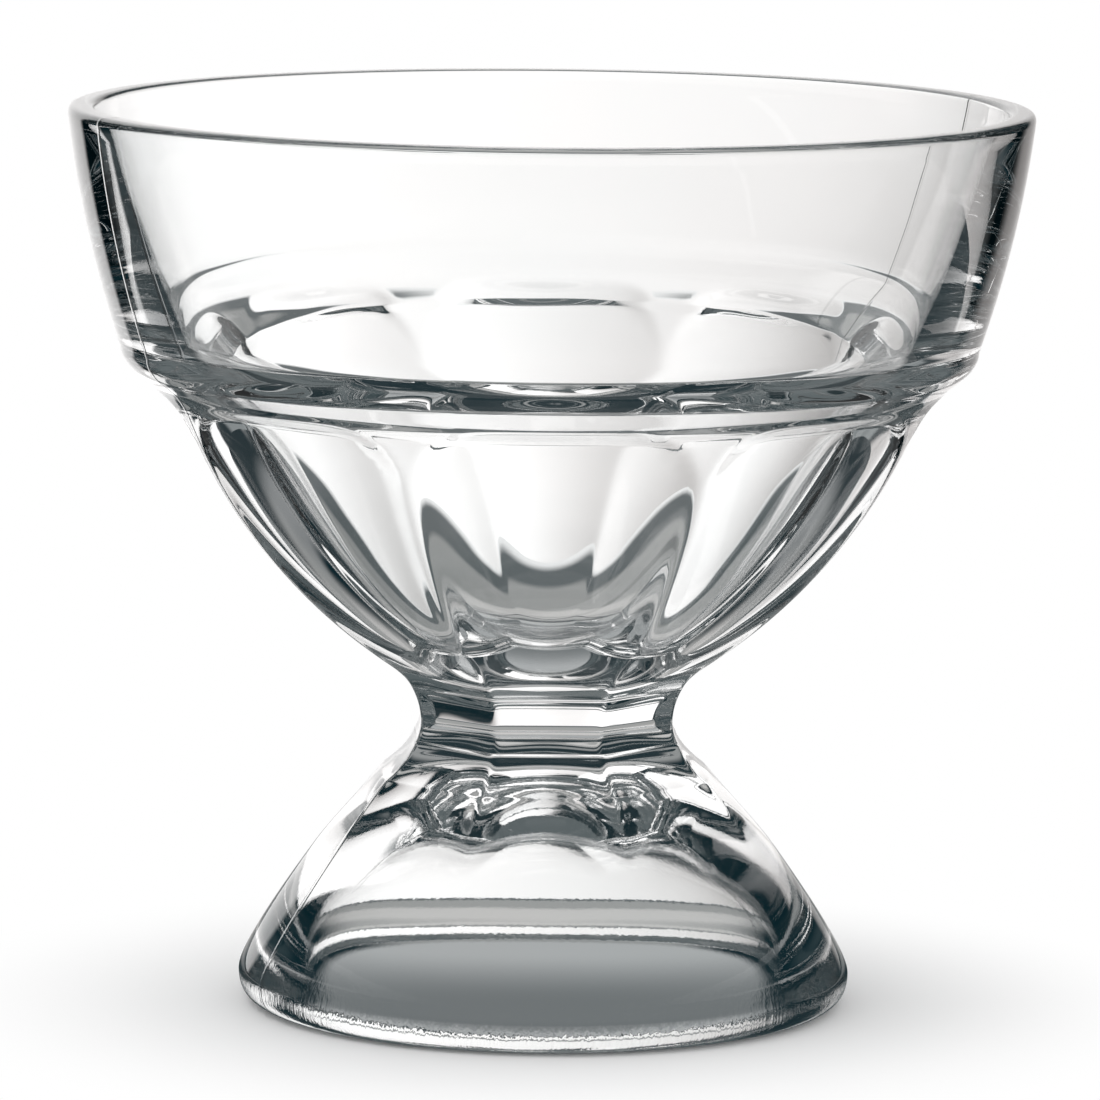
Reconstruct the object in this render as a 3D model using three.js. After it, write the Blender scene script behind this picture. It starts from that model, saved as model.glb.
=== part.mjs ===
// Footed sundae glass in clear pressed glass: a flared bowl, a short eight-sided stem and a hollow foot.
// Millimetres, +Z up. The origin is the centre of the foot ring, on the table.
// The three pieces are stacked on one axis and meet face to face at two fused joints.
import * as THREE from "three";

// Panels: the sides that run up the foot and stem and open into shallow flutes on the bowl
const PANEL_COUNT = 8;
const RIDGE_SHARPNESS = 0.995; // 1 is a knife edge between two panels, less rounds it
const PANEL_POWER = 2; // cross-section of a side or flute: higher is flatter in the middle
const FLUTE_DEPTH = 1.5;
const FLUTE_TOP_DROP = 0.6; // a flute ends this far under the step, on a small ledge
const FLUTE_LEDGE_HEIGHT = 1.6;
const FLUTE_CORNER_DROP = 5; // the top of a flute comes down this far in its corners
const FLUTE_CORNER_POWER = 7; // higher keeps the top straight further towards the corners

// How finely the round shapes are cut into flats
const STEPS_PER_PANEL = 8;
const CORNER_STEPS = 2;
const BEND_STEPS = 6;
const CURVE_STEPS = 12;

// Joints between the pieces, across the ridges
const STEM_TOP_DIAMETER = 31.7;
const STEM_BOTTOM_DIAMETER = 30.7;

// Foot
const FOOT_HEIGHT = 29.5;
const FOOT_DIAMETER = 67;
const FOOT_EDGE_HEIGHT = 3.4; // height of the widest place
const FOOT_EDGE_ROUND = 3.8; // from the widest place in to the resting ring
const FOOT_RING_WIDTH = 1.6;
const FOOT_RING_ROUND = 1; // inside edge of the resting ring
const FOOT_NECK_HEIGHT = 4; // hollow curve just under the stem
const FOOT_NECK_REACH = 3.45;
const FOOT_SHOULDER_LEAN = 1.36; // outward run of the shoulder for each millimetre it drops
const FOOT_SHOULDER_RUN = 0.7; // how far the sloping shoulder stays straight
const FOOT_SIDE_RISE = 3.3; // how far the side stays upright
const FOOT_CROWN = 7; // solid glass between the hollow and the stem
const HOLLOW_SIDE_RISE = 8;
const HOLLOW_CROWN_REACH = 18;
const FOOT_PANEL_START = 17; // the flat sides melt into the round foot at this height

// Stem
const STEM_HEIGHT = 6;
const STEM_WAIST_DIAMETER = 29.5;
const STEM_WAIST_HEIGHT = 2.2;

// Bowl, outside
const BOWL_HEIGHT = 63;
const RIM_DIAMETER = 105;
const RIM_ROUND = 0.9;
const BAND_HEIGHT = 27.2; // smooth band below the rim
const BAND_BOTTOM_DIAMETER = 93.6;
const BAND_BULGE = 0.7;
const BAND_EDGE_ROUND = 1.2;
const STEP_WIDTH = 3; // slanted step between the band and the fluted cup
const STEP_DROP = 2.6;
const STEP_RUNOUT = 1 / 3; // share of the step by which its slope carries on into the curve below it
const CUP_TOP_HEIGHT = 2.55; // hollow curve under the step
const CUP_TOP_REACH = 1.7;
const CUP_SIDE_RUN = 13.6;
const CUP_NECK_HEIGHT = 2.4; // hollow curve above the stem
const CUP_NECK_REACH = 2.4;
const CUP_NECK_LEAN = 1.5; // outward run for each millimetre of rise
const CUP_NECK_RUN = 5.8;
const FLUTE_NECK_BLEND = 8; // height over which the flat sides of the stem become flutes

// Bowl, inside
const RIM_WALL = 3;
const BAND_WALL = 5.4;
const BAND_INSIDE_BULGE = 0.6;
const SHOULDER_RISE = 2.7; // the inside shoulder stands this much above the band's lower edge
const SHOULDER_BEND = 0.5; // length of the two bends of the inside shoulder
const CUP_WALL = 8.5;
const CUP_WALL_LEAN = 0.15; // lean of the inside wall just under the shoulder
const CUP_WALL_RUN = 6;
const FLOOR_THICKNESS = 4.9;
const FLOOR_RADIUS = 4;
const FLOOR_CORNER_REACH = 15;

// A clear, very faintly grey glass
const glass = new THREE.MeshStandardMaterial({
  name: "clear_glass",
  color: 0xe9f0f0,
  roughness: 0.03,
  metalness: 0,
  transparent: true,
  opacity: 0.35,
});

const point = (radius, height) => new THREE.Vector2(radius, height);

// The points of a curve after its first one. Two handles make a cubic curve, one a quadratic.
function bend(steps, start, ...rest) {
  const Curve = rest.length === 3 ? THREE.CubicBezierCurve : THREE.QuadraticBezierCurve;
  return new Curve(start, ...rest).getPoints(steps).slice(1);
}

// How far a flat side lies inside the circle through its two ridges, at the middle of the side.
function flatPanelDepth(ridgeRadius) {
  return ridgeRadius * (1 - Math.cos(Math.PI / PANEL_COUNT));
}

// Position across a panel: 0 in its middle, 1 on the rounded ridges at its edges.
function acrossPanel(turn) {
  const wave = RIDGE_SHARPNESS * Math.sin((turn * PANEL_COUNT) / 2);
  return Math.abs(Math.asin(wave)) / Math.asin(RIDGE_SHARPNESS);
}

// A closed solid turned about the vertical axis. relief(turn, height, radius) is how far the outside
// lies in from the circle of its ridges. The first outsideCount points of the outline are the outside.
function turned(outline, outsideCount, relief) {
  const shape = new THREE.LatheGeometry(outline, PANEL_COUNT * STEPS_PER_PANEL);
  const places = shape.getAttribute("position");
  for (let i = 0; i < places.count; i += 1) {
    if (i % outline.length >= outsideCount) continue;
    const [x, height, z] = [places.getX(i), places.getY(i), places.getZ(i)];
    const radius = Math.hypot(x, z);
    if (radius === 0) continue;
    const share = 1 - relief(Math.atan2(x, z), height, radius) / radius;
    places.setXYZ(i, x * share, height, z * share);
  }
  return shape.rotateX(Math.PI / 2);
}

// Hollow foot: a resting ring, a rounded edge, sides that become flat towards the stem, and a domed hollow.
function footGeometry() {
  const edgeRadius = FOOT_DIAMETER / 2;
  const ringOutside = edgeRadius - FOOT_EDGE_ROUND;
  const ringInside = ringOutside - FOOT_RING_WIDTH;
  const mouthRadius = ringInside - FOOT_RING_ROUND;
  const hollowTop = FOOT_HEIGHT - FOOT_CROWN;
  const edge = point(edgeRadius, FOOT_EDGE_HEIGHT);
  const top = point(STEM_BOTTOM_DIAMETER / 2, FOOT_HEIGHT);
  const neck = point(top.x + FOOT_NECK_REACH, top.y - FOOT_NECK_HEIGHT);
  const shoulder = point(neck.x + FOOT_SHOULDER_LEAN * FOOT_SHOULDER_RUN, neck.y - FOOT_SHOULDER_RUN);
  const neckDrop = FOOT_NECK_HEIGHT / 2;
  const neckCorner = point(neck.x - FOOT_SHOULDER_LEAN * neckDrop, neck.y + neckDrop);
  const ring = point(ringOutside, 0);
  const outside = [
    ring,
    ...bend(BEND_STEPS, ring, point(edgeRadius, 0), edge),
    ...bend(CURVE_STEPS, edge, point(edgeRadius, FOOT_EDGE_HEIGHT + FOOT_SIDE_RISE), shoulder, neck),
    ...bend(CORNER_STEPS, neck, neckCorner, top),
    point(0, FOOT_HEIGHT),
  ];
  const crown = point(0, hollowTop);
  const mouth = point(mouthRadius, FOOT_RING_ROUND);
  const sideTop = point(mouthRadius, FOOT_RING_ROUND + HOLLOW_SIDE_RISE);
  const inside = [
    ...bend(CURVE_STEPS, crown, point(HOLLOW_CROWN_REACH, hollowTop), sideTop, mouth),
    ...bend(CORNER_STEPS, mouth, point(mouthRadius, 0), point(ringInside, 0)),
  ];
  const flatness = (height) => THREE.MathUtils.smoothstep(height, FOOT_PANEL_START, FOOT_HEIGHT);
  const relief = (turn, height, radius) =>
    flatPanelDepth(radius) * flatness(height) * (1 - acrossPanel(turn) ** PANEL_POWER);
  return turned([...outside, crown, ...inside, ring], outside.length, relief);
}

// Solid stem: a short eight-sided waist.
function stemGeometry() {
  const bottom = point(STEM_BOTTOM_DIAMETER / 2, 0);
  const waist = point(STEM_WAIST_DIAMETER / 2, STEM_WAIST_HEIGHT);
  const top = point(STEM_TOP_DIAMETER / 2, STEM_HEIGHT);
  const lowerHandle = point(waist.x, waist.y / 2);
  const upperHandle = point(waist.x, (waist.y + top.y) / 2);
  const outside = [
    point(0, 0),
    bottom,
    ...bend(BEND_STEPS, bottom, lowerHandle, waist),
    ...bend(BEND_STEPS, waist, upperHandle, top),
    point(0, STEM_HEIGHT),
  ];
  const relief = (turn, height, radius) =>
    flatPanelDepth(radius) * (1 - acrossPanel(turn) ** PANEL_POWER);
  return turned(outside, outside.length, relief);
}

// Bowl: a fluted cup, a slanted step and a smooth band outside, and a round inside with a shoulder.
function bowlGeometry() {
  const bandBottom = point(BAND_BOTTOM_DIAMETER / 2, BOWL_HEIGHT - BAND_HEIGHT);
  const stepBottom = point(bandBottom.x - STEP_WIDTH, bandBottom.y - STEP_DROP);
  const cupTop = point(stepBottom.x - CUP_TOP_REACH, stepBottom.y - CUP_TOP_HEIGHT);
  const joint = point(STEM_TOP_DIAMETER / 2, 0);
  const neck = point(joint.x + CUP_NECK_REACH, CUP_NECK_HEIGHT);
  const neckHandle = point(neck.x + CUP_NECK_RUN * CUP_NECK_LEAN, neck.y + CUP_NECK_RUN);
  const neckCorner = point(neck.x - (CUP_NECK_LEAN * CUP_NECK_HEIGHT) / 2, CUP_NECK_HEIGHT / 2);
  const stepCorner = point(stepBottom.x - STEP_WIDTH * STEP_RUNOUT, stepBottom.y - STEP_DROP * STEP_RUNOUT);
  const cupLean = (stepCorner.x - cupTop.x) / (stepCorner.y - cupTop.y);
  const sideHandle = point(cupTop.x - CUP_SIDE_RUN * cupLean, cupTop.y - CUP_SIDE_RUN);
  const rimSide = point(RIM_DIAMETER / 2, BOWL_HEIGHT - RIM_ROUND);
  const edgeBelow = point(bandBottom.x - BAND_EDGE_ROUND, bandBottom.y - BAND_EDGE_ROUND);
  const edgeAbove = point(bandBottom.x, bandBottom.y + BAND_EDGE_ROUND);
  const bandBow = point((edgeAbove.x + rimSide.x) / 2 + 2 * BAND_BULGE, (edgeAbove.y + rimSide.y) / 2);
  const rimOutside = point(rimSide.x - RIM_ROUND, BOWL_HEIGHT);
  const outside = [
    point(0, 0),
    joint,
    ...bend(CORNER_STEPS, joint, neckCorner, neck),
    ...bend(CURVE_STEPS, neck, neckHandle, sideHandle, cupTop),
    ...bend(BEND_STEPS, cupTop, stepCorner, stepBottom),
    edgeBelow,
    ...bend(CORNER_STEPS, edgeBelow, bandBottom, edgeAbove),
    ...bend(BEND_STEPS, edgeAbove, bandBow, rimSide),
    ...bend(CORNER_STEPS, rimSide, point(rimSide.x, BOWL_HEIGHT), rimOutside),
  ];
  const rimInside = point(RIM_DIAMETER / 2 - RIM_WALL, BOWL_HEIGHT - RIM_ROUND);
  const shoulder = point(bandBottom.x - BAND_WALL, bandBottom.y + SHOULDER_RISE);
  const innerCup = point(stepBottom.x - CUP_WALL, stepBottom.y);
  const innerHandle = point(innerCup.x - CUP_WALL_RUN * CUP_WALL_LEAN, innerCup.y - CUP_WALL_RUN);
  const floorEdge = point(FLOOR_RADIUS, FLOOR_THICKNESS);
  const floorHandle = point(floorEdge.x + FLOOR_CORNER_REACH, FLOOR_THICKNESS);
  const innerMiddle = rimInside.clone().add(shoulder).divideScalar(2);
  const innerBow = point(innerMiddle.x + 2 * BAND_INSIDE_BULGE, innerMiddle.y);
  const bandLean = (innerBow.x - shoulder.x) / (innerBow.y - shoulder.y);
  const shoulderTop = point(shoulder.x - SHOULDER_BEND * bandLean, shoulder.y - SHOULDER_BEND);
  const shoulderFoot = point(innerCup.x + SHOULDER_BEND * CUP_WALL_LEAN, innerCup.y + SHOULDER_BEND);
  const rimTop = point(rimInside.x + RIM_ROUND, BOWL_HEIGHT);
  const inside = [
    rimTop,
    ...bend(CORNER_STEPS, rimTop, point(rimInside.x, BOWL_HEIGHT), rimInside),
    ...bend(BEND_STEPS, rimInside, innerBow, shoulder),
    ...bend(BEND_STEPS, shoulder, shoulderTop, shoulderFoot, innerCup),
    ...bend(CURVE_STEPS, innerCup, innerHandle, floorHandle, floorEdge),
    point(0, FLOOR_THICKNESS),
  ];
  const relief = (turn, height, radius) => {
    const flute = THREE.MathUtils.smoothstep(height, 0, FLUTE_NECK_BLEND);
    const depth = THREE.MathUtils.lerp(flatPanelDepth(radius), FLUTE_DEPTH, flute);
    const across = acrossPanel(turn);
    const ledge = stepBottom.y - FLUTE_TOP_DROP - FLUTE_CORNER_DROP * across ** FLUTE_CORNER_POWER;
    const belowLedge = 1 - THREE.MathUtils.smoothstep(height, ledge - FLUTE_LEDGE_HEIGHT, ledge);
    return depth * (1 - across ** PANEL_POWER) * belowLedge;
  };
  return turned([...outside, ...inside], outside.length, relief);
}

function piece(name, geometry, height) {
  const mesh = new THREE.Mesh(geometry, glass.clone());
  mesh.name = name;
  mesh.position.z = height;
  return mesh;
}

const sundaeGlass = new THREE.Group();
sundaeGlass.add(
  piece("foot", footGeometry(), 0),
  piece("stem", stemGeometry(), FOOT_HEIGHT),
  piece("bowl", bowlGeometry(), FOOT_HEIGHT + STEM_HEIGHT),
);

export default sundaeGlass;
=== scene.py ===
"""Footed sundae glass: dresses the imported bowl, stem and foot in clear pressed glass in a white studio."""
import math

import bmesh
import bpy
import numpy as np
from mathutils import Matrix, Vector


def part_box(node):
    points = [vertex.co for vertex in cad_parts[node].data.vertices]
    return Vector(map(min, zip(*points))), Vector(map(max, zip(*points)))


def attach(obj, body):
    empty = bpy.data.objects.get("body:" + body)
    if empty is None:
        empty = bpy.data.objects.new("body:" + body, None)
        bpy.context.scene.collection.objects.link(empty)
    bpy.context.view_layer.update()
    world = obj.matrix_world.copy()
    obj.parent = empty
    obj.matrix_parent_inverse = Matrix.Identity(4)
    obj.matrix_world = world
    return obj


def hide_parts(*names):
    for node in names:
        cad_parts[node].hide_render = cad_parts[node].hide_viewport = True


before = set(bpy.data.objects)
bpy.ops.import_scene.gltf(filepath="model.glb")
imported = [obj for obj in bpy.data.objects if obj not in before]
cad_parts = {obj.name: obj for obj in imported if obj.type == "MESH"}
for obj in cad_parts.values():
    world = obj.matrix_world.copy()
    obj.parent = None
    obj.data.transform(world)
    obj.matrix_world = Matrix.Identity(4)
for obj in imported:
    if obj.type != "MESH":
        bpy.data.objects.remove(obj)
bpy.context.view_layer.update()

MM = 0.001

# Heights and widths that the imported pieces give
FOOT_LOW, FOOT_HIGH = (np.array(corner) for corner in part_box("foot"))
BOWL_LOW, BOWL_HIGH = (np.array(corner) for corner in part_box("bowl"))
STEM_BOTTOM = FOOT_HIGH[2]
STEM_TOP = BOWL_LOW[2]
RIM_HEIGHT = BOWL_HIGH[2]
RIM_RADIUS = BOWL_HIGH[0]
FOOT_RADIUS = FOOT_HIGH[0]

# Panels round the glass
PANEL_COUNT = 8
RIDGE_SHARPNESS = 0.995
PANEL_POWER = 2.0
FLUTE_DEPTH = 1.5 * MM
FLUTE_TOP_DROP = 0.6 * MM
FLUTE_LEDGE_HEIGHT = 1.6 * MM
FLUTE_CORNER_DROP = 5 * MM
FLUTE_CORNER_POWER = 7.0
FLUTE_NECK_BLEND = 8 * MM

# Ridge radii at the joints and the waist of the stem
STEM_TOP_RADIUS = 15.85 * MM
STEM_BOTTOM_RADIUS = 15.35 * MM
STEM_WAIST_RADIUS = 14.75 * MM
STEM_WAIST_HEIGHT = 2.2 * MM

# Foot
FOOT_EDGE_HEIGHT = 3.4 * MM
FOOT_EDGE_ROUND = 3.8 * MM
FOOT_RING_WIDTH = 1.6 * MM
FOOT_RING_ROUND = 1.0 * MM
FOOT_NECK_HEIGHT = 4 * MM
FOOT_NECK_REACH = 3.45 * MM
FOOT_SHOULDER_LEAN = 1.36
FOOT_SHOULDER_RUN = 0.7 * MM
FOOT_SIDE_RISE = 3.3 * MM
FOOT_CROWN = 7 * MM
HOLLOW_SIDE_RISE = 8 * MM
HOLLOW_CROWN_REACH = 18 * MM
FOOT_PANEL_START = 17 * MM
FOOT_PANEL_FULL = 29.5 * MM

# Bowl
RIM_ROUND = 0.9 * MM
BAND_HEIGHT = 27.2 * MM
BAND_BOTTOM_RADIUS = 46.8 * MM
BAND_BULGE = 0.7 * MM
BAND_EDGE_ROUND = 1.2 * MM
STEP_WIDTH = 3 * MM
STEP_DROP = 2.6 * MM
STEP_RUNOUT = 1 / 3
CUP_TOP_HEIGHT = 2.55 * MM
CUP_TOP_REACH = 1.7 * MM
CUP_SIDE_RUN = 13.6 * MM
CUP_NECK_HEIGHT = 2.4 * MM
CUP_NECK_REACH = 2.4 * MM
CUP_NECK_LEAN = 1.5
CUP_NECK_RUN = 5.8 * MM
RIM_WALL = 3 * MM
BAND_WALL = 5.4 * MM
BAND_INSIDE_BULGE = 0.6 * MM
SHOULDER_RISE = 2.7 * MM
SHOULDER_BEND = 0.5 * MM
CUP_WALL = 8.5 * MM
CUP_WALL_LEAN = 0.15
CUP_WALL_RUN = 6 * MM
FLOOR_THICKNESS = 4.9 * MM
FLOOR_RADIUS = 4 * MM
FLOOR_CORNER_REACH = 15 * MM

# Glass
TINT = (0.993, 0.995, 0.994, 1)
CLOUD_TINT = (0.98, 0.99, 0.99, 1)
GLASS_ROUGHNESS = 0.004
GLASS_IOR = 1.52
CLOUD_SCALE = 40.0
CLOUD_EDGES = 0.35, 0.65
RIPPLE_SCALE = 70.0
RIPPLE_HEIGHT = 0.05 * MM
SEAM_AZIMUTH = math.radians(-67.5)
SEAM_WIDTH = 0.9 * MM
SEAM_HEIGHT = 0.05 * MM
GRAIN_SCALE = 2600.0
HOLLOW_GRAIN = 0.03 * MM
GRAIN_FADE = 1.5 * MM, 5 * MM
GRAIN_LEFT_ABOVE = 0.1

# Places of a Mix node's colour sockets, which share their names with its other sockets
MIX_FIRST_COLOUR, MIX_SECOND_COLOUR, MIX_COLOUR_OUT = 6, 7, 2

# Surfaces of a piece
OUTSIDE, INSIDE, JOINT = range(3)

# How finely the surfaces are cut
AROUND = 512
CORNER_RINGS = 8
BEND_RINGS = 16
CURVE_RINGS = 40
SAME_PLACE = 1e-7

# Camera, from the ellipses of the rim and foot in the photograph
CAMERA_DISTANCE = 883 * MM
CAMERA_HEIGHT = 172.5 * MM
CAMERA_SIDE_STEP = 0.28 * MM
CAMERA_AZIMUTH = math.radians(-1.2)
CAMERA_PITCH = 0.138
CAMERA_ROLL = 0.0103
CAMERA_NEAREST = 10 * MM
CAMERA_LENS_MM = 266.9
SENSOR_MM = 36

# Table
TABLE_RADIUS = 192 * MM
TABLE_POINTS = 128
TABLE_FADE = 30 * MM, 72 * MM
TABLE_COLOUR = (0.95, 0.95, 0.95, 1)
WHITE = (1, 1, 1, 1)

# What the glass sees of the table, painted light and shade that glows: the painted shadow under the hollow,
# then rings of painted shade and light, each with the radii between which it sets in, its colour to the left
# and right, and its colour in front and behind
SHADE_COLOUR = (0.003, 0.015, 0.02, 1)
PAINTED_RING_SHADE = (0.004, 0.018, 0.024, 1)
PAINTED_HOLLOW_SHADOW_FRONT = (0.17, 0.185, 0.19, 1)
PAINTED_HOLLOW_SHADOW_BACK = (0.42, 0.435, 0.44, 1)
HOLLOW_FADE = 14 * MM
PAINTED_TABLE_RINGS = (
    (24 * MM, 27 * MM, PAINTED_RING_SHADE, (0.3, 0.31, 0.31, 1)),
    (28 * MM, 30 * MM, (0.04, 0.06, 0.066, 1), (0.01, 0.024, 0.03, 1)),
    (38 * MM, 46 * MM, PAINTED_RING_SHADE, (0.42, 0.42, 0.415, 1)),
    (50 * MM, 56 * MM, PAINTED_RING_SHADE, (0.6, 0.59, 0.58, 1)),
    (72 * MM, 84 * MM, (0.25, 0.26, 0.265, 1), (0.36, 0.365, 0.36, 1)),
    (136 * MM, 150 * MM, (0.4, 0.405, 0.405, 1), (0.13, 0.145, 0.15, 1)),
    (176 * MM, 190 * MM, (0.55, 0.55, 0.545, 1), WHITE),
)
IN_LINE_FADE = math.cos(math.radians(58)), math.cos(math.radians(32))

# Two wedges of painted shade on the far part of the table: where each starts and ends, and the radii where
# it sets in
PAINTED_SHADE_WEDGE_START = math.radians(30), math.radians(34)
PAINTED_SHADE_WEDGE_END = math.radians(62), math.radians(68)
PAINTED_SHADE_WEDGE_REACH = 100 * MM, 130 * MM

# What the glass sees of the room. Azimuths are angles from +Y, and heights are sines of the elevation
BACKDROP_COLOUR = (1.35, 1.335, 1.33, 1)
BACKDROP_GREY = (0.6, 0.575, 0.565, 1)
BACKDROP_SHADING = -0.25, 0.45
BACKDROP_LEFT = math.radians(-33), math.radians(-29)
BACKDROP_RIGHT = math.radians(21), math.radians(29)
BACKDROP_LEAN_LEFT, BACKDROP_LEAN_RIGHT = 0.3, 0.6
LOW_GREY = (0.25, 0.27, 0.275, 1)
LOW_COLOUR = (0.8, 0.8, 0.795, 1)
HIGH_GREY = (0.11, 0.13, 0.135, 1)
FLANK_START = math.radians(39), math.radians(45)
WIDE_START = math.radians(66), math.radians(78)
LOW_END = -0.165, -0.105
HIGH_START = 0.15, 0.34
CEILING_START = 0.62, 0.76

# Lamp, and how often light is followed through the glass
LAMP_PLACE = (-0.8, -0.6, 1.6)
LAMP_SIZE = 0.8
LAMP_WATTS = 4
GLASS_BOUNCES = 32
GLOSS_BOUNCES = 16


def place_camera():
    """Stands the camera at the photograph's angle: turned to its azimuth, tipped down, then rolled."""
    data = bpy.data.cameras.new("camera")
    data.lens = CAMERA_LENS_MM
    data.sensor_width = SENSOR_MM
    data.clip_start = CAMERA_NEAREST
    camera = bpy.data.objects.new("camera", data)
    bpy.context.collection.objects.link(camera)
    turn = Matrix.Rotation(CAMERA_AZIMUTH, 4, "Z")
    place = Matrix.Translation(Vector((CAMERA_SIDE_STEP, -CAMERA_DISTANCE, CAMERA_HEIGHT)))
    tip = Matrix.Rotation(math.pi / 2 - CAMERA_PITCH, 4, "X")
    roll = Matrix.Rotation(CAMERA_ROLL, 4, "Z")
    camera.matrix_world = turn @ place @ tip @ roll
    bpy.context.scene.camera = camera


class Value:
    """A shader socket. Arithmetic on it adds Math nodes, and node() adds any other node to its tree."""

    def __init__(self, tree, socket):
        self.tree = tree
        self.socket = socket

    def node(self, kind, sockets, settings=None, output=0):
        return add_node(self.tree, kind, sockets, settings, output)

    def math(self, operation, *values):
        return self.node("ShaderNodeMath", dict(enumerate(values)), {"operation": operation})

    def __add__(self, other):
        return self.math("ADD", self, other)

    def __radd__(self, other):
        return self.math("ADD", other, self)

    def __sub__(self, other):
        return self.math("SUBTRACT", self, other)

    def __rsub__(self, other):
        return self.math("SUBTRACT", other, self)

    def __mul__(self, other):
        return self.math("MULTIPLY", self, other)

    def __rmul__(self, other):
        return self.math("MULTIPLY", other, self)

    def __truediv__(self, other):
        return self.math("DIVIDE", self, other)

    def __rtruediv__(self, other):
        return self.math("DIVIDE", other, self)

    def __abs__(self):
        return self.math("ABSOLUTE", self)

    def larger(self, other):
        return self.math("MAXIMUM", self, other)

    def ramp(self, low, high):
        """0 below low, 1 above high and a smooth step between."""
        sockets = {"Value": self, "From Min": low, "From Max": high}
        return self.node("ShaderNodeMapRange", sockets, {"interpolation_type": "SMOOTHSTEP"})

    def blend(self, first, second):
        """Mixes two shaders: only the first where this value is 0 and only the second where it is 1."""
        return self.node("ShaderNodeMixShader", {0: self, 1: first, 2: second})

    def glow(self, colour):
        """A surface that shows one colour as it is written."""
        return self.node("ShaderNodeEmission", {"Color": colour, "Strength": 1.0})

    def sky(self, colour):
        """A part of the surroundings in one colour."""
        return self.node("ShaderNodeBackground", {"Color": colour, "Strength": 1.0})

    def noise(self, scale, detail):
        """Smooth noise at this place, from 0 to 1."""
        return self.node("ShaderNodeTexNoise", {"Vector": self, "Scale": scale, "Detail": detail})

    def part(self, axis):
        """One coordinate of a vector: X, Y or Z."""
        return self.node("ShaderNodeSeparateXYZ", {0: self}, output=axis)


def add_node(tree, kind, sockets, settings=None, output=0):
    """Adds one node: its settings first, then its sockets' values or links. Returns one of its outputs."""
    node = tree.nodes.new(kind)
    for name, value in (settings or {}).items():
        setattr(node, name, value)
    for name, value in sockets.items():
        if isinstance(value, Value):
            tree.links.new(value.socket, node.inputs[name])
        else:
            node.inputs[name].default_value = value
    return Value(tree, node.outputs[output]) if node.outputs else None


def empty_tree(owner):
    """Gives a material or world an empty node tree."""
    owner.use_nodes = True
    owner.node_tree.nodes.clear()
    return owner.node_tree


def bezier(count, *handles):
    """A Bezier curve, first point left out: each handle is weighted by its share in Bernstein's formula."""
    order = len(handles) - 1
    share = np.linspace(0, 1, count + 1)[1:, None]
    weights = (math.comb(order, k) * share**k * (1 - share) ** (order - k) for k in range(order + 1))
    return sum(weight * np.array(handle) for weight, handle in zip(weights, handles))


def smooth_step(value, low, high):
    """0 below low, 1 above high, and 3 t squared less 2 t cubed between."""
    share = np.clip((value - low) / (high - low), 0, 1)
    return share * share * (3 - 2 * share)


def across_panel(turn):
    """Place across a panel, 0 in the middle and 1 on the ridges: a triangle wave with rounded tips."""
    wave = RIDGE_SHARPNESS * np.sin(turn * PANEL_COUNT / 2)
    return np.abs(np.arcsin(wave)) / math.asin(RIDGE_SHARPNESS)


def flat_panel_depth(ridge_radius):
    """Depth of a flat side's middle inside the circle through its two ridges: the circle's sagitta."""
    return ridge_radius * (1 - math.cos(math.pi / PANEL_COUNT))


def foot_outline():
    """Profile of the foot from the joint down the outside, and under the ring up to the hollow's crown."""
    top = np.array((STEM_BOTTOM_RADIUS, STEM_BOTTOM))
    neck = top + (FOOT_NECK_REACH, -FOOT_NECK_HEIGHT)
    neck_corner = neck + (-FOOT_SHOULDER_LEAN * FOOT_NECK_HEIGHT / 2, FOOT_NECK_HEIGHT / 2)
    shoulder = neck + (FOOT_SHOULDER_LEAN * FOOT_SHOULDER_RUN, -FOOT_SHOULDER_RUN)
    edge = (FOOT_RADIUS, FOOT_EDGE_HEIGHT)
    side = (FOOT_RADIUS, FOOT_EDGE_HEIGHT + FOOT_SIDE_RISE)
    ring_outside = FOOT_RADIUS - FOOT_EDGE_ROUND
    ring_inside = ring_outside - FOOT_RING_WIDTH
    mouth_radius = ring_inside - FOOT_RING_ROUND
    mouth = (mouth_radius, FOOT_RING_ROUND)
    hollow_side = (mouth_radius, FOOT_RING_ROUND + HOLLOW_SIDE_RISE)
    hollow_top = STEM_BOTTOM - FOOT_CROWN
    outside = (
        [top],
        bezier(CORNER_RINGS, top, neck_corner, neck),
        bezier(CURVE_RINGS, neck, shoulder, side, edge),
        bezier(BEND_RINGS, edge, (FOOT_RADIUS, 0), (ring_outside, 0)),
    )
    inside = (
        [(ring_inside, 0)],
        bezier(CORNER_RINGS, (ring_inside, 0), (mouth_radius, 0), mouth),
        bezier(CURVE_RINGS, mouth, hollow_side, (HOLLOW_CROWN_REACH, hollow_top), (0, hollow_top)),
    )
    return np.vstack(outside), np.vstack(inside)


def stem_outline():
    """Profile of the stem's outside, from its top joint over the waist to its bottom joint."""
    top = (STEM_TOP_RADIUS, STEM_TOP)
    waist = (STEM_WAIST_RADIUS, STEM_BOTTOM + STEM_WAIST_HEIGHT)
    bottom = (STEM_BOTTOM_RADIUS, STEM_BOTTOM)
    upper_handle = (STEM_WAIST_RADIUS, (waist[1] + STEM_TOP) / 2)
    lower_handle = (STEM_WAIST_RADIUS, (waist[1] + STEM_BOTTOM) / 2)
    return np.vstack((
        [top],
        bezier(BEND_RINGS, top, upper_handle, waist),
        bezier(BEND_RINGS, waist, lower_handle, bottom),
    ))


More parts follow.
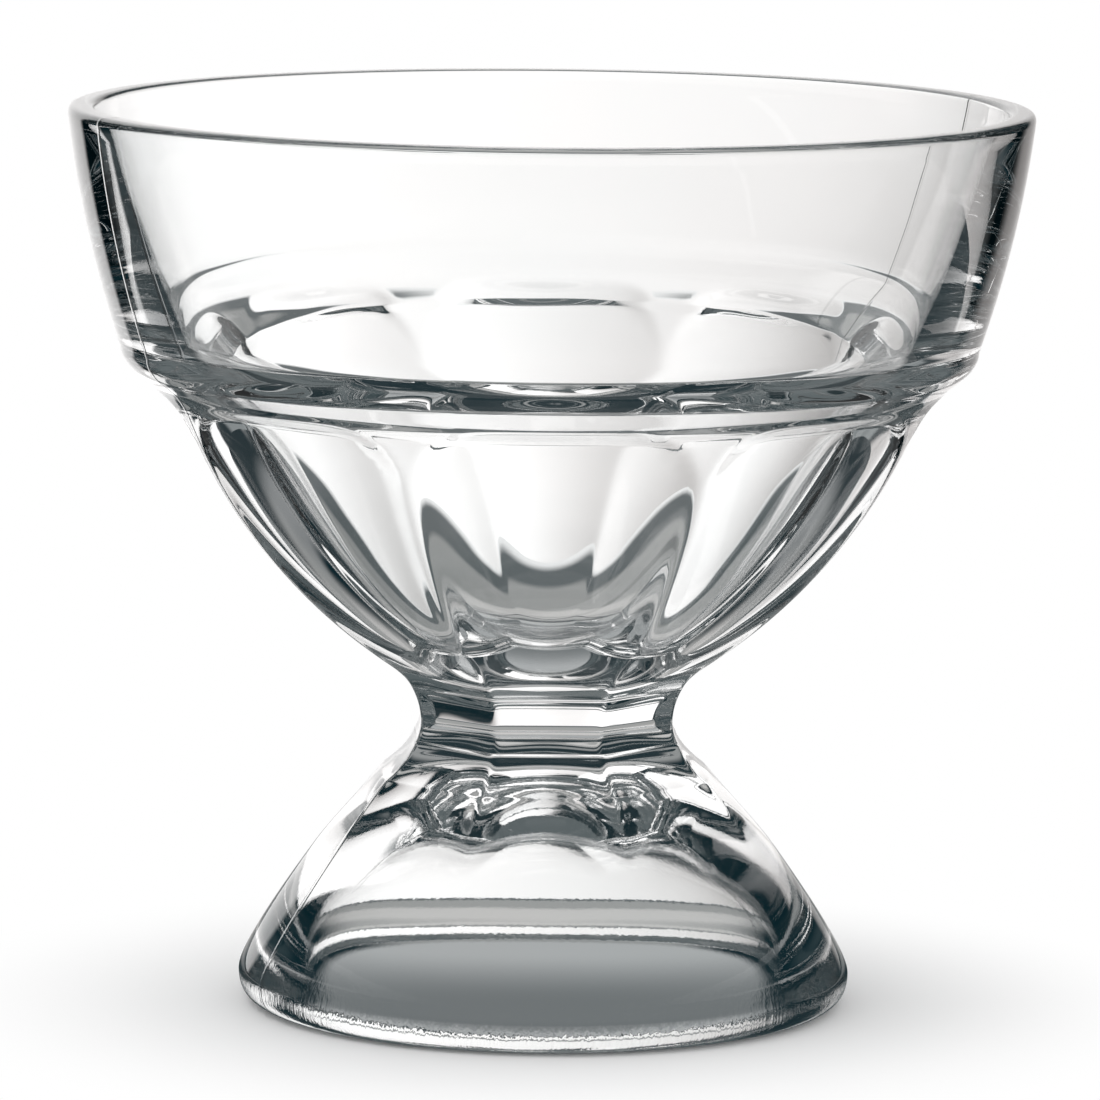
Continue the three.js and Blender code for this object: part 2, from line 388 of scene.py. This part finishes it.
def bowl_outline():
    """
    Profile of the bowl from its joint up to the rim and down the inside to the floor, and the height of the
    bottom of the step.
    """
    joint = np.array((STEM_TOP_RADIUS, STEM_TOP))
    neck = joint + (CUP_NECK_REACH, CUP_NECK_HEIGHT)
    neck_corner = neck - (CUP_NECK_LEAN * CUP_NECK_HEIGHT / 2, CUP_NECK_HEIGHT / 2)
    neck_handle = neck + (CUP_NECK_RUN * CUP_NECK_LEAN, CUP_NECK_RUN)
    band_bottom = np.array((BAND_BOTTOM_RADIUS, RIM_HEIGHT - BAND_HEIGHT))
    step_bottom = band_bottom - (STEP_WIDTH, STEP_DROP)
    step_corner = step_bottom - np.array((STEP_WIDTH, STEP_DROP)) * STEP_RUNOUT
    cup_top = step_bottom - (CUP_TOP_REACH, CUP_TOP_HEIGHT)
    cup_lean = (step_corner - cup_top)[0] / (step_corner - cup_top)[1]
    side_handle = cup_top - (CUP_SIDE_RUN * cup_lean, CUP_SIDE_RUN)
    edge_below = band_bottom - BAND_EDGE_ROUND
    edge_above = band_bottom + (0, BAND_EDGE_ROUND)
    rim_side = np.array((RIM_RADIUS, RIM_HEIGHT - RIM_ROUND))
    band_bow = (edge_above + rim_side) / 2 + (2 * BAND_BULGE, 0)
    rim_outside = (RIM_RADIUS - RIM_ROUND, RIM_HEIGHT)
    rim_inside = np.array((RIM_RADIUS - RIM_WALL, RIM_HEIGHT - RIM_ROUND))
    rim_top = rim_inside + (RIM_ROUND, RIM_ROUND)
    shoulder = band_bottom + (-BAND_WALL, SHOULDER_RISE)
    inner_bow = (rim_inside + shoulder) / 2 + (2 * BAND_INSIDE_BULGE, 0)
    band_lean = (inner_bow - shoulder)[0] / (inner_bow - shoulder)[1]
    inner_cup = step_bottom - (CUP_WALL, 0)
    shoulder_top = shoulder - (SHOULDER_BEND * band_lean, SHOULDER_BEND)
    shoulder_foot = inner_cup + (SHOULDER_BEND * CUP_WALL_LEAN, SHOULDER_BEND)
    inner_handle = inner_cup - (CUP_WALL_RUN * CUP_WALL_LEAN, CUP_WALL_RUN)
    floor_height = STEM_TOP + FLOOR_THICKNESS
    floor_edge = (FLOOR_RADIUS, floor_height)
    floor_handle = (FLOOR_RADIUS + FLOOR_CORNER_REACH, floor_height)
    outside = (
        [joint],
        bezier(CORNER_RINGS, joint, neck_corner, neck),
        bezier(CURVE_RINGS, neck, neck_handle, side_handle, cup_top),
        bezier(BEND_RINGS, cup_top, step_corner, step_bottom),
        bezier(CORNER_RINGS, step_bottom, edge_below),
        bezier(CORNER_RINGS, edge_below, band_bottom, edge_above),
        bezier(BEND_RINGS, edge_above, band_bow, rim_side),
        bezier(CORNER_RINGS, rim_side, (RIM_RADIUS, RIM_HEIGHT), rim_outside),
    )
    inside = (
        [rim_top],
        bezier(CORNER_RINGS, rim_top, (rim_inside[0], RIM_HEIGHT), rim_inside),
        bezier(BEND_RINGS, rim_inside, inner_bow, shoulder),
        bezier(BEND_RINGS, shoulder, shoulder_top, shoulder_foot, inner_cup),
        bezier(CURVE_RINGS, inner_cup, inner_handle, floor_handle, floor_edge),
        bezier(CORNER_RINGS, floor_edge, (0, floor_height)),
    )
    return np.vstack(outside), np.vstack(inside), step_bottom[1]


def turned_piece(name, rings, relief, surfaces, materials):
    """
    A solid turned about the axis. Point (i, j) lies on ring i at turn j, at the ring's radius less its
    relief. Rings of no radius are poles. Each gap between two rings is outside, inside or joint.
    """
    turn = np.linspace(0, 2 * math.pi, AROUND, endpoint=False)
    radius = rings[:, :1] - relief(turn)
    points = np.stack((radius * np.sin(turn), -radius * np.cos(turn), rings[:, 1:] + 0 * turn), axis=-1)
    count = len(rings)
    index = np.arange(count * AROUND).reshape(count, AROUND)
    after = np.roll(index, -1, axis=1)
    quads = np.stack((index[:-1], after[:-1], after[1:], index[1:]), axis=-1)
    surface = np.repeat(surfaces, AROUND).astype(np.int32)
    mesh = bpy.data.meshes.new(name)
    mesh.from_pydata(points.reshape(-1, 3), [], quads.reshape(-1, 4))
    for material in materials:
        mesh.materials.append(material)
    mesh.polygons.foreach_set("material_index", surface)
    mesh.polygons.foreach_set("use_smooth", surface != JOINT)
    piece = bpy.data.objects.new(name, mesh)
    bpy.context.collection.objects.link(piece)
    return piece


def merge_poles(piece):
    """Joins the points that lie on one place, so that the poles on the axis are closed."""
    work = bmesh.new()
    work.from_mesh(piece.data)
    bmesh.ops.remove_doubles(work, verts=work.verts, dist=SAME_PLACE)
    work.to_mesh(piece.data)
    work.free()


def glass_material(name, seam_height=0.0, grain_height=0.0):
    """
    Clear pressed glass: a faint tint in slow clouds, soft ripples, the fine line that the halves of the
    mould leave in one upright plane, and a fine grain low down, where the mould was rough. A height of 0
    leaves out the line or the grain.
    """
    material = bpy.data.materials.new(name)
    tree = empty_tree(material)
    place = add_node(tree, "ShaderNodeTexCoord", {}, output="Object")
    clouds = place.noise(CLOUD_SCALE, detail=2.0).ramp(*CLOUD_EDGES)
    ripple = place.noise(RIPPLE_SCALE, detail=1.0)
    grain = place.noise(GRAIN_SCALE, detail=2.0)
    rough_part = 1 + GRAIN_LEFT_ABOVE - place.part("Z").ramp(*GRAIN_FADE)
    off_seam = abs(place.part("X") * math.cos(SEAM_AZIMUTH) + place.part("Y") * math.sin(SEAM_AZIMUTH))
    seam = 1 - off_seam.ramp(SEAM_WIDTH / 8, SEAM_WIDTH / 2)
    height = ripple * RIPPLE_HEIGHT + seam * seam_height + grain * rough_part * grain_height
    tints = {"Factor": clouds, MIX_FIRST_COLOUR: TINT, MIX_SECOND_COLOUR: CLOUD_TINT}
    sockets = {
        "Base Color": clouds.node("ShaderNodeMix", tints, {"data_type": "RGBA"}, MIX_COLOUR_OUT),
        "Roughness": clouds * GLASS_ROUGHNESS,
        "IOR": GLASS_IOR,
        "Transmission Weight": 1.0,
        "Normal": height.node("ShaderNodeBump", {"Strength": 1.0, "Distance": 1.0, "Height": height}),
    }
    shader = place.node("ShaderNodeBsdfPrincipled", sockets)
    shader.node("ShaderNodeOutputMaterial", {"Surface": shader})
    return material


def fused_joint():
    """The place where two pieces are fused: no surface is left there, so light goes straight on."""
    material = bpy.data.materials.new("fused_joint")
    shader = add_node(empty_tree(material), "ShaderNodeBsdfPrincipled", {"Alpha": 0.0})
    shader.node("ShaderNodeOutputMaterial", {"Surface": shader})
    return material


def foot_shape():
    """Rings of the foot from the hollow's crown to the joint, the relief of its flat sides, its surfaces."""
    outside, inside = foot_outline()
    rings = np.vstack(([(0, STEM_BOTTOM)], outside, inside))[::-1]
    paneled = np.r_[[0], np.ones(len(outside)), np.zeros(len(inside))][::-1, None]
    flatness = smooth_step(rings[:, 1:], FOOT_PANEL_START, FOOT_PANEL_FULL) * paneled

    def relief(turn):
        return flat_panel_depth(rings[:, :1]) * flatness * (1 - across_panel(turn) ** PANEL_POWER)

    surfaces = np.r_[[JOINT], np.full(len(outside), OUTSIDE), np.full(len(inside) - 1, INSIDE)][::-1]
    return rings, relief, surfaces


def stem_shape():
    """Rings of the stem from joint to joint, the relief of its flat sides, its surfaces."""
    rings = np.vstack(([(0, STEM_TOP)], stem_outline(), [(0, STEM_BOTTOM)]))[::-1]

    def relief(turn):
        return flat_panel_depth(rings[:, :1]) * (1 - across_panel(turn) ** PANEL_POWER)

    surfaces = np.r_[[JOINT], np.full(len(rings) - 3, OUTSIDE), [JOINT]]
    return rings, relief, surfaces


def bowl_shape():
    """Rings of the bowl from its joint over the rim to its floor, the relief of its flutes, its surfaces."""
    outside, inside, flute_top = bowl_outline()
    rings = np.vstack(([(0, STEM_TOP)], outside, inside))
    radius, height = rings[:, :1], rings[:, 1:]
    fluted = np.r_[[0], np.ones(len(outside)), np.zeros(len(inside))][:, None]
    flute = smooth_step(height, STEM_TOP, STEM_TOP + FLUTE_NECK_BLEND)
    depth = fluted * (flat_panel_depth(radius) * (1 - flute) + FLUTE_DEPTH * flute)

    def relief(turn):
        across = across_panel(turn)
        top = flute_top - FLUTE_TOP_DROP - FLUTE_CORNER_DROP * across**FLUTE_CORNER_POWER
        below_ledge = 1 - smooth_step(height, top - FLUTE_LEDGE_HEIGHT, top)
        return depth * (1 - across**PANEL_POWER) * below_ledge

    surfaces = np.r_[[JOINT], np.full(len(outside), OUTSIDE), np.full(len(inside) - 1, INSIDE)]
    return rings, relief, surfaces


def build_piece(node, shape, joint, inside_grain=0.0):
    """Makes one piece of the glass from its rings and relief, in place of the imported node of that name."""
    outside = glass_material(node + "_glass", seam_height=SEAM_HEIGHT)
    inside = glass_material(node + "_glass_inside", grain_height=inside_grain)
    piece = turned_piece("glass_" + node, *shape, (outside, inside, joint))
    merge_poles(piece)
    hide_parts(node)
    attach(piece, "root")


def build_table():
    """
    A round table: a flat disc of one ring of points. The camera sees it pale, with the shadow, and white
    farther out. The glass sees painted light and shade on it, glowing: a painted shadow under the hollow,
    rings of painted grey shade and light, and two wedges of painted shade.
    """
    turn = np.linspace(0, 2 * math.pi, TABLE_POINTS, endpoint=False)
    edge = np.stack((TABLE_RADIUS * np.cos(turn), TABLE_RADIUS * np.sin(turn), 0 * turn), axis=-1)
    mesh = bpy.data.meshes.new("table")
    mesh.from_pydata(edge, [], [np.arange(TABLE_POINTS)])
    table = bpy.data.objects.new("table", mesh)
    bpy.context.collection.objects.link(table)
    material = bpy.data.materials.new("table_white_with_painted_light_and_shade")
    tree = empty_tree(material)
    place = add_node(tree, "ShaderNodeTexCoord", {}, output="Object")
    reach = place.node("ShaderNodeVectorMath", {"Vector": place}, {"operation": "LENGTH"}, output="Value")
    x, y = place.part("X"), place.part("Y")
    in_line = (abs(y) / reach).ramp(*IN_LINE_FADE)
    azimuth = abs(x.math("ARCTAN2", x, y))
    painted_wedge_shade = (azimuth.ramp(*PAINTED_SHADE_WEDGE_START) - azimuth.ramp(*PAINTED_SHADE_WEDGE_END)) * reach.ramp(*PAINTED_SHADE_WEDGE_REACH)
    # Painted shadow of the foot on the table under the hollow, glowing for the glass, darker in front than
    # behind
    through = y.ramp(-HOLLOW_FADE, HOLLOW_FADE).blend(y.glow(PAINTED_HOLLOW_SHADOW_FRONT), y.glow(PAINTED_HOLLOW_SHADOW_BACK))
    # Rings of painted shade and light that glow for the glass
    for start, end, beside_colour, in_line_colour in PAINTED_TABLE_RINGS:
        ring = in_line.blend(in_line.glow(beside_colour), in_line.glow(in_line_colour))
        through = reach.ramp(start, end).blend(through, ring)
    # Painted shade: the two wedges glow dark for the glass
    through = painted_wedge_shade.blend(through, painted_wedge_shade.glow(SHADE_COLOUR))
    matt = reach.node("ShaderNodeBsdfDiffuse", {"Color": TABLE_COLOUR})
    pale = reach.ramp(*TABLE_FADE).blend(matt, reach.glow(WHITE))
    seen = add_node(tree, "ShaderNodeLightPath", {}, output="Is Camera Ray")
    add_node(tree, "ShaderNodeOutputMaterial", {"Surface": seen.blend(through, pale)})
    mesh.materials.append(material)


def build_world():
    """
    The room: white to the camera. The glass sees a bright backdrop between dark flanks, a pale ground that
    goes on beyond the table, and a grey upper room.
    """
    world = bpy.data.worlds.new("studio")
    bpy.context.scene.world = world
    tree = empty_tree(world)
    way = add_node(tree, "ShaderNodeTexCoord", {}, output="Generated")
    x, y, z = (way.part(axis) for axis in "XYZ")
    azimuth = x.math("ARCTAN2", x, y)
    left, right = azimuth + z * BACKDROP_LEAN_LEFT, azimuth + z * BACKDROP_LEAN_RIGHT
    back = left.ramp(*BACKDROP_LEFT) - right.ramp(*BACKDROP_RIGHT)
    bright = x.ramp(*BACKDROP_SHADING).blend(x.sky(BACKDROP_COLOUR), x.sky(BACKDROP_GREY))
    shade = x.sky(SHADE_COLOUR)
    flank, wide = abs(azimuth).ramp(*FLANK_START), abs(azimuth).ramp(*WIDE_START)
    low = wide.blend(flank.blend(shade, x.sky(LOW_GREY)), x.sky(LOW_COLOUR))
    high = wide.blend(shade, x.sky(HIGH_GREY))
    around = z.ramp(*HIGH_START).blend(z.ramp(*LOW_END).blend(low, shade), high)
    around = back.blend(around, bright)
    around = z.ramp(*CEILING_START).blend(around, z.sky(HIGH_GREY))
    camera, glossy, through = (
        add_node(tree, "ShaderNodeLightPath", {}, output=ray)
        for ray in ("Is Camera Ray", "Is Glossy Ray", "Is Transmission Ray")
    )
    surround = glossy.larger(through).blend(glossy.sky(WHITE), around)
    add_node(tree, "ShaderNodeOutputWorld", {"Surface": camera.blend(surround, camera.sky(WHITE))})


def build_lamp():
    """One large soft lamp from the upper left, which the glass doesn't mirror, for the soft shadow."""
    data = bpy.data.lights.new("key", "AREA")
    data.shape = "DISK"
    data.size = LAMP_SIZE
    data.energy = LAMP_WATTS
    lamp = bpy.data.objects.new("key", data)
    bpy.context.collection.objects.link(lamp)
    place = Vector(LAMP_PLACE)
    lamp.visible_glossy = False
    lamp.visible_transmission = False
    lamp.matrix_world = Matrix.Translation(place) @ (-place).to_track_quat("-Z", "Y").to_matrix().to_4x4()


def main():
    place_camera()
    joint = fused_joint()
    build_piece("foot", foot_shape(), joint, HOLLOW_GRAIN)
    build_piece("stem", stem_shape(), joint)
    build_piece("bowl", bowl_shape(), joint)
    build_table()
    build_world()
    build_lamp()
    scene = bpy.context.scene
    scene.view_settings.view_transform = "Standard"
    scene.cycles.max_bounces = GLASS_BOUNCES
    scene.cycles.transmission_bounces = GLASS_BOUNCES
    scene.cycles.glossy_bounces = GLOSS_BOUNCES


main()
